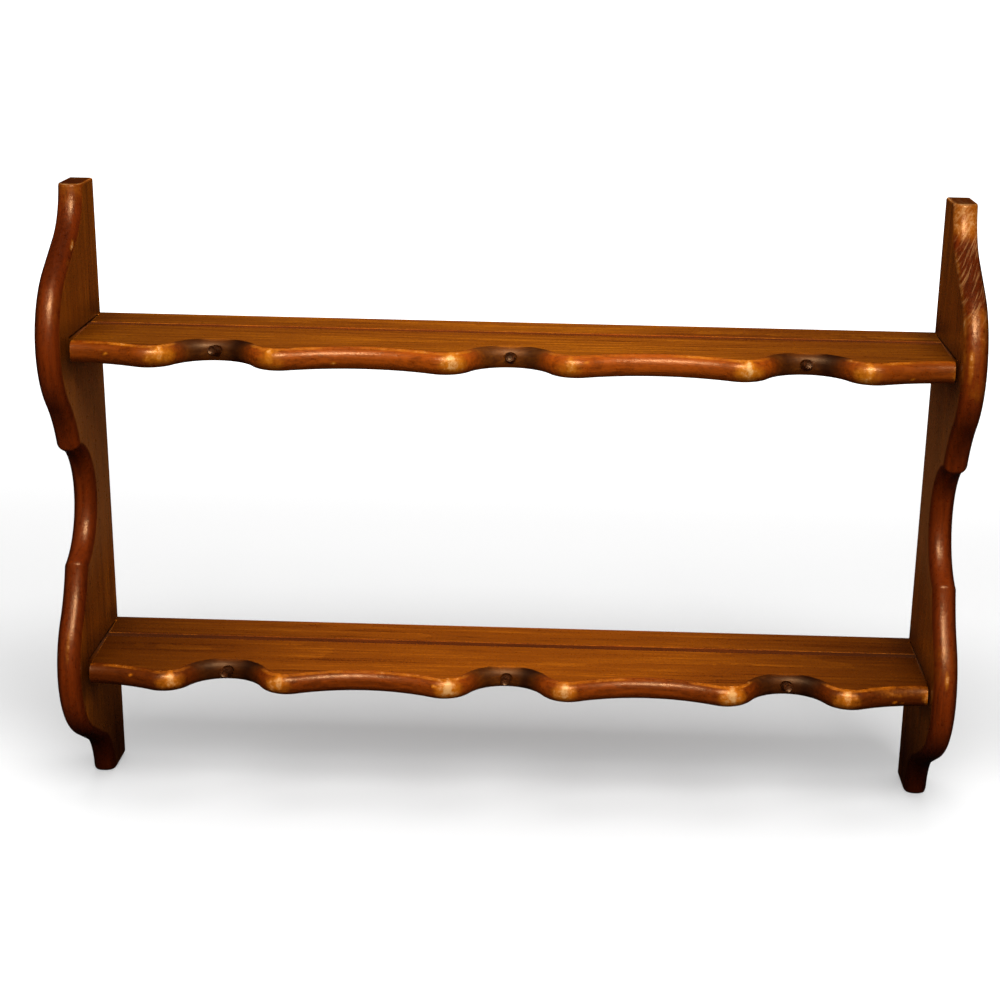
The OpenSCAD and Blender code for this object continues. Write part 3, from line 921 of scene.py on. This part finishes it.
def grainy(tree, vector, scale=1.0, detail=4.0, roughness=0.55, out="Fac"):
    return node(
        tree, "ShaderNodeTexNoise",
        {"Vector": vector, "Scale": scale, "Detail": detail, "Roughness": roughness},
    ).outputs[out]


def sums(tree, operation, a, b=0.0):
    return node(tree, "ShaderNodeMath", {0: a, 1: b}, operation=operation).outputs[0]


def times(tree, a, b):
    return sums(tree, "MULTIPLY", a, b)


def blend(tree, amount, a, b):
    """Two colours mixed by amount."""
    return node(tree, "ShaderNodeMix", {0: amount, 6: a, 7: b}, data_type="RGBA").outputs[2]


def vector(tree, operation, a, b):
    return node(tree, "ShaderNodeVectorMath", {0: a, 1: b}, operation=operation).outputs[0]


def attribute(tree, name):
    return node(tree, "ShaderNodeAttribute", attribute_name=name).outputs["Fac"]


def spread(tree, value, low, high, to_low=0.0, to_high=1.0):
    return node(
        tree, "ShaderNodeMapRange",
        {"Value": value, "From Min": low, "From Max": high, "To Min": to_low, "To Max": to_high},
        interpolation_type="SMOOTHSTEP",
    ).outputs["Result"]


def tint(code):
    """A colour from its web code, as the linear numbers that a shader takes."""
    parts = [int(code[k:k + 2], 16) / 255 for k in (1, 3, 5)]
    return (*[p / 12.92 if p <= 0.04045 else ((p + 0.055) / 1.055) ** 2.4 for p in parts], 1.0)


def new_finish(name):
    """A new material, its node tree and its shader."""
    finish = bpy.data.materials.new(name)
    finish.use_nodes = True
    shader = finish.node_tree.nodes["Principled BSDF"]
    return finish, finish.node_tree, shader


# %% [markdown]
# ## Stained and lacquered pine
# Pine shows growth rings that run with the grain, long streaks, fine threads, and cloudy patches
# where the stain soaked in. The rings are round the tree's middle, so one pattern gives lines on a
# face and arcs on a sawn end. All of them are added into one tone, from dark wood to light.


# %% The figure of the wood
def pine_figure(tree, place, grain_turn, offset):
    """Rings, streaks, threads, clouds and specks of the wood, each a number from 0 to 1."""
    along = mapped(tree, place, rotation=grain_turn, location=offset)  # x now runs with the grain
    drift = grainy(tree, mapped(tree, along, (1.4, 8, 8)), 1.0, 3.0, out="Color")
    drift = vector(tree, "SUBTRACT", drift, (0.5, 0.5, 0.5))
    drift = vector(tree, "MULTIPLY", drift, (0, 0.05, 0.05))  # the rings wander by 25 mm
    rings = node(
        tree, "ShaderNodeTexWave",
        {"Vector": vector(tree, "ADD", along, drift), "Scale": 52.0, "Distortion": 1.2,
         "Detail": 3.0, "Detail Scale": 2.0},
        wave_type="RINGS", rings_direction="X", wave_profile="SAW",
    ).outputs["Fac"]
    streak = grainy(tree, mapped(tree, along, (6, 260, 260)), 1.0, 5.0, 0.6)
    thread = grainy(tree, mapped(tree, along, (22, 760, 760)), 1.0, 3.0, 0.6)
    cloud = grainy(tree, mapped(tree, along, (5, 22, 22)), 1.0, 3.0, 0.5)
    speck = grainy(tree, mapped(tree, place, (420, 420, 420)), 1.0, 4.0, 0.65)
    return rings, streak, thread, cloud, speck


def pine_tone(tree, figure):
    """The figure's parts, each with its share, as one number."""
    rings, streak, thread, cloud, speck = figure
    tone = times(tree, spread(tree, rings, 0.25, 1.0), 0.05)
    for part, share in ((streak, 0.28), (thread, 0.28), (cloud, 0.20), (speck, 0.19)):
        tone = sums(tree, "ADD", tone, times(tree, part, share))
    return tone


# %% [markdown]
# ### Painted shade and light
# The inner faces have painted shade where a shelf meets them and painted light between the shelves,
# a shelf has painted shade beside the boards, and every piece falls off slowly to painted shade
# towards its ends. Each is a smooth step in a coordinate of the piece, mixed over the grain.

# %% Painted shade and painted light
JOINTS = [z * MM for z in SHELF_Z.values()]  # heights at which a shelf meets the inner faces
INSIDE = 0.361  # from the rack's middle to just past the inner faces
CORNER_SHADE = (0.008, 0.036, 0.6, 0.0)  # painted shade where a shelf meets a board: (start, end, amount at the start, amount at the end)
# painted light that lifts the shade on the inner faces between the shelves
LIT_BETWEEN, LIT_BETWEEN_UP, LIT_BETWEEN_PINE = (0.05, 0.12, 0.42, 0.0), 0.03, "#b47038"
# painted shade on a shelf's top beside the boards
SHADE_BESIDE_BOARDS = (0.325, 0.362, 0.0, 0.42)


def shade_pine(tree, place, colour, deep, painted_falloff, corners):
    """Mixes painted shade and painted light over a colour."""
    round_edge = attribute(tree, "nose")
    axes = node(tree, "ShaderNodeSeparateXYZ", {0: place}).outputs
    flat = sums(tree, "SUBTRACT", 1.0, round_edge)
    inside = sums(tree, "LESS_THAN", sums(tree, "ABSOLUTE", axes["X"]), INSIDE)
    inside = times(tree, inside, flat)
    # painted shade where each shelf meets the inner face
    for level in corners:
        near = sums(tree, "ABSOLUTE", sums(tree, "SUBTRACT", axes["Z"], level))
        colour = blend(tree, times(tree, spread(tree, near, *CORNER_SHADE), inside), colour, deep)
    # painted light between the shelves
    if corners:
        middle = sum(corners) / 2 + LIT_BETWEEN_UP
        near = sums(tree, "ABSOLUTE", sums(tree, "SUBTRACT", axes["Z"], middle))
        lit_between = times(tree, spread(tree, near, *LIT_BETWEEN), inside)
        colour = blend(tree, lit_between, colour, tint(LIT_BETWEEN_PINE))
    # painted shade falling off towards the ends
    axis, start, full, amount = painted_falloff
    far = sums(tree, "ABSOLUTE", axes[axis])
    colour = blend(tree, spread(tree, far, start, full, 0.0, amount), colour, deep)
    if not corners:  # a shelf, whose x axis runs from board to board
        colour = blend(tree, times(tree, spread(tree, far, *SHADE_BESIDE_BOARDS), flat), colour, deep)
    return colour


# %% [markdown]
# ### Bare wood, scratches, stain and painted light
# The wear painted on the mesh, with its painted highlights, is broken up by noise, so that its edge
# is ragged: first the stain thins, and then bare wood shows. Scratches are noise stretched along
# one slanting direction. The dark stain of the recesses and the painted shade go on last, over
# everything else.

# %% Wear, painted highlights and painted shade in the finish
SLANT = math.radians(58)  # the scratches' way across the front


def wear_stain_and_painted_light(tree, place, colour, rub, light, bare, deep):
    """Mixes rubbed wood with painted highlights, scratches, and the dark finish with painted shade
    over a colour.
    """
    patchy = spread(tree, grainy(tree, place, 24.0, 3.0), 0.38, 0.62, 0.55, 1.12)
    wear_and_highlight = times(tree, attribute(tree, "wear_and_highlight"), patchy)
    uneven = sums(tree, "SUBTRACT", rub, 0.5)
    thin = sums(tree, "ADD", wear_and_highlight, times(tree, uneven, 0.45))
    gone = sums(tree, "ADD", wear_and_highlight, times(tree, uneven, 1.7))
    colour = blend(tree, spread(tree, thin, 0.14, 0.60), colour, light)
    colour = blend(tree, spread(tree, gone, 0.46, 1.05), colour, bare)
    slant = mapped(tree, mapped(tree, place, rotation=(0, SLANT, 0)), (45, 30, 800))
    scratch = spread(tree, grainy(tree, slant, 1.0, 3.0, 0.6), 0.50, 0.66, 0.0, 0.70)
    scratch = times(tree, scratch, attribute(tree, "scuff"))
    colour = blend(tree, scratch, colour, blend(tree, 0.45, light, bare))
    return blend(tree, attribute(tree, "stain_and_shade"), colour, deep)


# %% [markdown]
# ### The whole finish
# The lacquer needs no coat of its own in the shader: the gloss of the surface, tinted yellow as old
# lacquer is, is enough. It is duller where the grain is open, where the finish is rubbed and where
# dust lies, and the threads, dents and specks raise a fine bump.

# %% A recipe for the pine
YELLOWED = (1.0, 0.57, 0.27, 1.0)  # old lacquer shines warm
ROUGH = 0.11  # roughness before the grain, the rubbing and the dust add to it


def stained_pine(name, grain_turn, offset, tones, painted_falloff, corners=()):
    """tones are six web colours; painted_falloff is (axis, start, full, amount) of a slow fall-off
    to painted shade.

    Corners are the heights, in metres, at which a shelf meets the inner face of a board.
    """
    dark, middle, light, nose, bare, deep = [tint(code) for code in tones]
    finish, tree, shader = new_finish(name)
    place = node(tree, "ShaderNodeTexCoord").outputs["Object"]
    figure = pine_figure(tree, place, grain_turn, offset)
    tone = pine_tone(tree, figure)
    colour = blend(tree, spread(tree, tone, 0.39, 0.475), dark, middle)
    colour = blend(tree, spread(tree, tone, 0.485, 0.63), colour, light)
    front = blend(tree, spread(tree, tone, 0.38, 0.56), blend(tree, 0.5, nose, deep), nose)
    colour = blend(tree, times(tree, attribute(tree, "nose"), 0.88), colour, front)
    colour = shade_pine(tree, place, colour, deep, painted_falloff, corners)
    rub = grainy(tree, mapped(tree, place, (260, 260, 260)), 1.0, 5.0, 0.7)
    colour = wear_stain_and_painted_light(tree, place, colour, rub, light, bare, deep)
    tree.links.new(colour, shader.inputs["Base Color"])

    streak, thread, speck = figure[1], figure[2], figure[4]
    dull = sums(tree, "ADD", times(tree, streak, 0.10), times(tree, rub, 0.30))
    dull = sums(tree, "ADD", dull, times(tree, attribute(tree, "dust"), 0.80))
    tree.links.new(sums(tree, "ADD", dull, ROUGH), shader.inputs["Roughness"])
    shader.inputs["Specular IOR Level"].default_value = 0.60
    shader.inputs["Specular Tint"].default_value = YELLOWED

    dents = grainy(tree, mapped(tree, place, (60, 60, 60)), 1.0, 3.0, 0.5)
    height = sums(tree, "ADD", times(tree, thread, 0.15), times(tree, dents, 1.2))
    height = sums(tree, "ADD", height, times(tree, speck, 0.55))
    bump = node(tree, "ShaderNodeBump", {"Height": height, "Strength": 0.35, "Distance": 0.0012})
    tree.links.new(bump.outputs["Normal"], shader.inputs["Normal"])
    return finish


# %% Four boards from four trees
UPRIGHT, LEVEL = (0.0, math.radians(90), 0.0), (0.0, 0.0, 0.0)
# dark, middle and light wood, the front edge, bare wood, and the deepest stain, which also paints
# shade
BOARD_TONES = ("#642c06", "#8c4407", "#b05c08", "#742302", "#ecb270", "#200300")
UPPER_TONES = ("#702f04", "#9a4d05", "#d0740a", "#b04a06", "#f4b870", "#240600")
LOWER_TONES = ("#723004", "#9e4c04", "#cc6c08", "#943a04", "#f0b068", "#240600")
# the last tuple paints shade that falls off towards a board's foot or a shelf's ends
pine = {
    "side_board_left": stained_pine(
        "pine_left", UPRIGHT, (0.2, 0.11, 0.05), BOARD_TONES, ("Z", 0.38, 0.47, 0.75), JOINTS),
    "side_board_right": stained_pine(
        "pine_right", UPRIGHT, (1.7, -0.09, -0.06), BOARD_TONES, ("Z", 0.37, 0.46, 0.80), JOINTS),
    "upper_shelf": stained_pine(
        "pine_upper", LEVEL, (0.9, 0.02, 0.11), UPPER_TONES, ("X", 0.10, 0.36, 0.44)),
    "lower_shelf": stained_pine(
        "pine_lower", LEVEL, (2.3, 0.05, 0.49), LOWER_TONES, ("X", 0.10, 0.36, 0.66)),
}
print("pine finishes:", len(pine))

# %% [markdown]
# ## Turned pegs and plugs
# The pegs were left darker than the shelves: stain soaks into end grain, which is what faces the
# room. Their open pores are darker and duller still. The plugs are cut from a paler dowel of the
# same kind, so one recipe with two pairs of colours does both.


# %% A recipe for dowels
def dark_dowel(name, dark, light):
    finish, tree, shader = new_finish(name)
    place = node(tree, "ShaderNodeTexCoord").outputs["Object"]
    pores = grainy(tree, mapped(tree, place, (900, 900, 900)), 1.0, 3.0)
    patch = grainy(tree, mapped(tree, place, (160, 160, 160)), 1.0, 3.0)
    colour = blend(tree, spread(tree, patch, 0.3, 0.7), tint(dark), tint(light))
    colour = blend(tree, spread(tree, pores, 0.55, 0.35), colour, tint("#1c0a04"))
    tree.links.new(colour, shader.inputs["Base Color"])
    tree.links.new(spread(tree, pores, 0.3, 0.7, 0.30, 0.45), shader.inputs["Roughness"])
    shader.inputs["Specular Tint"].default_value = YELLOWED
    bump = node(tree, "ShaderNodeBump", {"Height": pores, "Strength": 0.3, "Distance": 0.0004})
    tree.links.new(bump.outputs["Normal"], shader.inputs["Normal"])
    return finish


peg_finish = dark_dowel("peg_dowel", "#341404", "#5a2a0e")
plug_finish = dark_dowel("plug_dowel", "#4a200a", "#8a4a1c")
print("dowel finishes:", peg_finish.name, plug_finish.name)

# %% [markdown]
# ## Metal fittings
# The screws and keyhole plates stay as the CAD solids. Zinc-plated steel is brushed in one
# direction, and brass is warmer and more worn, so one recipe with stretched scratches does both.

# %% A recipe for plated metal
HALF_METAL = 0.55  # a dull film over the plating, which also keeps it from mirroring the dark room


def plated(name, colour, tarnish, rough, brush):
    finish, tree, shader = new_finish(name)
    place = node(tree, "ShaderNodeTexCoord").outputs["Object"]
    brushed = grainy(tree, mapped(tree, place, brush), 1.0, 4.0, 0.6)
    spotty = grainy(tree, mapped(tree, place, (240, 240, 240)), 1.0, 4.0, 0.6)
    tone = blend(tree, spread(tree, spotty, 0.52, 0.74), tint(colour), tint(tarnish))
    tree.links.new(tone, shader.inputs["Base Color"])
    dull = spread(tree, brushed, 0.25, 0.75, rough - 0.08, rough + 0.14)
    tree.links.new(dull, shader.inputs["Roughness"])
    shader.inputs["Metallic"].default_value = HALF_METAL
    bump = node(tree, "ShaderNodeBump", {"Height": brushed, "Strength": 0.2, "Distance": 0.0002})
    tree.links.new(bump.outputs["Normal"], shader.inputs["Normal"])
    return finish


steel = plated("zinc_steel", "#b9bcc0", "#7e7b74", 0.34, (2200, 2200, 60))
brass = plated("brass_screw", "#c9ab5e", "#7c6232", 0.3, (900, 900, 900))
print("metal finishes:", steel.name, brass.name)

# %% [markdown]
# ## Dressing the frame
# Each new piece gets its finish and its shading, rides on the rack's only body, and stands for the
# CAD node that it replaces. The hangers and screws stay as the CAD made them, because they are
# small and plain, and only their material changes.

# %% Dress every piece and tie it to the frame
for name, piece in (
    ("side_left", side_left), ("side_right", side_right),
    ("shelf_upper", shelves["upper"]), ("shelf_lower", shelves["lower"]),
):
    piece.data.materials.clear()
    piece.data.materials.append(pine[piece.name])
    soften(piece)
    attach(piece, "root")
    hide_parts(name)
for (level, place), peg in pegs.items():
    peg.data.materials.append(peg_finish)
    soften(peg, 40)
    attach(peg, "root")
    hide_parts(f"peg_{level}_{place}")
for (level, hand), pair in plugs.items():
    pair.data.materials.append(plug_finish)
    soften(pair, 40)
    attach(pair, "root")
    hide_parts(f"plugs_{level}_{hand}")
for name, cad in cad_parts.items():
    if name.startswith("hanger"):
        cad.material_slots[0].material = steel
    elif name.startswith("screws"):
        cad.material_slots[0].material = brass
print("pieces dressed:", len(pine) + len(pegs) + len(plugs))

# %% [markdown]
# ## Floor and surround
# The rack stands on a pale matt floor that runs into a white surround, as in a studio. The camera
# sees the floor's own shade, plus a glow of plain white. The glow is least in a long patch just
# behind the rack and grows away from it, and more quickly in front, so it paints the soft shadow's
# shape, and the far floor melts into the background. Light that bounces off the floor comes from a
# darker colour. Glossy rays find the floor and the surround almost black: a white room would
# lay a grey veil over lacquer seen at a shallow angle, and the photograph shows none.

# %% Lay the floor
FLOOR_Z, FLOOR_HALF, FLOOR_BACK = cad_box[0][2], 30, 20
SHADE_AT, SHADE_SQUASH = (0.0, 0.13, FLOOR_Z), (0.38, 1, 1)  # the painted shadow of a long rack is long too
SEEN, LIT, MIRRORED = (0.70, 0.70, 0.70, 1), (0.2, 0.2, 0.2, 1), (0.004, 0.004, 0.004, 1)
bm = bmesh.new()
bmesh.ops.create_grid(bm, x_segments=1, y_segments=1, size=FLOOR_HALF)
bmesh.ops.translate(bm, vec=(0, FLOOR_BACK, FLOOR_Z), verts=bm.verts[:])
floor_mesh = bpy.data.meshes.new("floor")
bm.to_mesh(floor_mesh)
bm.free()
floor = bpy.data.objects.new("floor", floor_mesh)
bpy.context.scene.collection.objects.link(floor)
floor_paint, tree, shader = new_finish("floor_paint")
rays = node(tree, "ShaderNodeLightPath").outputs
seen = sums(tree, "MAXIMUM", rays["Is Camera Ray"], rays["Is Transmission Ray"])
plain = blend(tree, rays["Is Glossy Ray"], LIT, MIRRORED)
tree.links.new(blend(tree, seen, plain, SEEN), shader.inputs["Base Color"])
shader.inputs["Roughness"].default_value = 1.0
shader.inputs["Specular IOR Level"].default_value = 0.0
place = node(tree, "ShaderNodeTexCoord").outputs["Object"]
away = node(
    tree, "ShaderNodeVectorMath", {0: mapped(tree, place, SHADE_SQUASH), 1: SHADE_AT},
    operation="DISTANCE",
).outputs["Value"]
nearer = times(tree, node(tree, "ShaderNodeSeparateXYZ", {0: place}).outputs["Y"], -1.0)
# the white glow grows away from the painted shadow's patch, and in front of the rack
lift = sums(
    tree, "ADD", spread(tree, away, 0.03, 0.36, 0.0, 0.30), spread(tree, away, 0.40, 2.0, 0.0, 0.90)
)
lift = sums(tree, "ADD", lift, spread(tree, nearer, -0.12, 0.08, 0.0, 0.16))
lift = times(tree, seen, lift)
white = node(tree, "ShaderNodeEmission", {"Color": (1, 1, 1, 1), "Strength": lift})
both = node(tree, "ShaderNodeAddShader", {0: shader.outputs[0], 1: white.outputs[0]})
tree.links.new(both.outputs[0], tree.nodes["Material Output"].inputs["Surface"])
floor.data.materials.append(floor_paint)
print("floor at", round(FLOOR_Z, 4), "m")

# %% Paint the surround
WORLD_LIGHT, WORLD_HELD_BACK = 0.30, 0.295  # the glow on the rack, less this much in reflections
world = bpy.data.worlds.new("surround")
bpy.context.scene.world = world
world.use_nodes = True
tree = world.node_tree
rays = node(tree, "ShaderNodeLightPath").outputs
seen = sums(tree, "MAXIMUM", rays["Is Camera Ray"], rays["Is Transmission Ray"])
held_back = times(tree, rays["Is Glossy Ray"], WORLD_HELD_BACK)
glow = sums(tree, "SUBTRACT", WORLD_LIGHT, held_back)
background = tree.nodes["Background"]
background.inputs["Color"].default_value = (1, 1, 1, 1)
tree.links.new(sums(tree, "MAXIMUM", seen, glow), background.inputs["Strength"])
print("surround painted")

# %% [markdown]
# ## Lamps
# The photograph's highlights are small and bright, but its shadows are soft, so there are two kinds
# of lamp. One, the glint, shows only in the shine of the lacquer: it hangs in front of the rack and
# above it. The other four give only even light: a large key lamp in front, one overhead, a weak one
# behind for the rack's back, and a low fill that keeps the undersides from going black.


# %% Lamps
def soft_lamp(name, place, target, size, power, shine=False):
    """A lamp for highlights only, if shine is true, or else one for even light only."""
    lamp = bpy.data.lights.new(name, "AREA")
    lamp.shape = "RECTANGLE"
    lamp.size, lamp.size_y = size
    lamp.energy = power
    made = bpy.data.objects.new(name, lamp)
    made.location = place
    made.visible_glossy, made.visible_diffuse = shine, not shine
    made.rotation_euler = (Vector(target) - Vector(place)).to_track_quat("-Z", "Y").to_euler()
    bpy.context.scene.collection.objects.link(made)


soft_lamp("glint", (0.03, -1.35, 1.28), (0, -0.06, -0.2), (0.85, 0.36), 42, shine=True)
soft_lamp("key", (0.35, -1.95, 2.05), (0, -0.06, -0.2), (1.7, 1.3), 56)
soft_lamp("top", (0.30, -0.3, 3.2), (0, -0.05, -0.2), (2.4, 1.2), 30)
soft_lamp("back", (-0.40, 1.6, 2.3), (0, 0, -0.2), (1.8, 1.2), 15)
soft_lamp("fill", (0.10, -2.3, 0.45), (0, 0, -0.1), (3.0, 0.8), 13)
print("lamps placed:", len(bpy.data.lights))
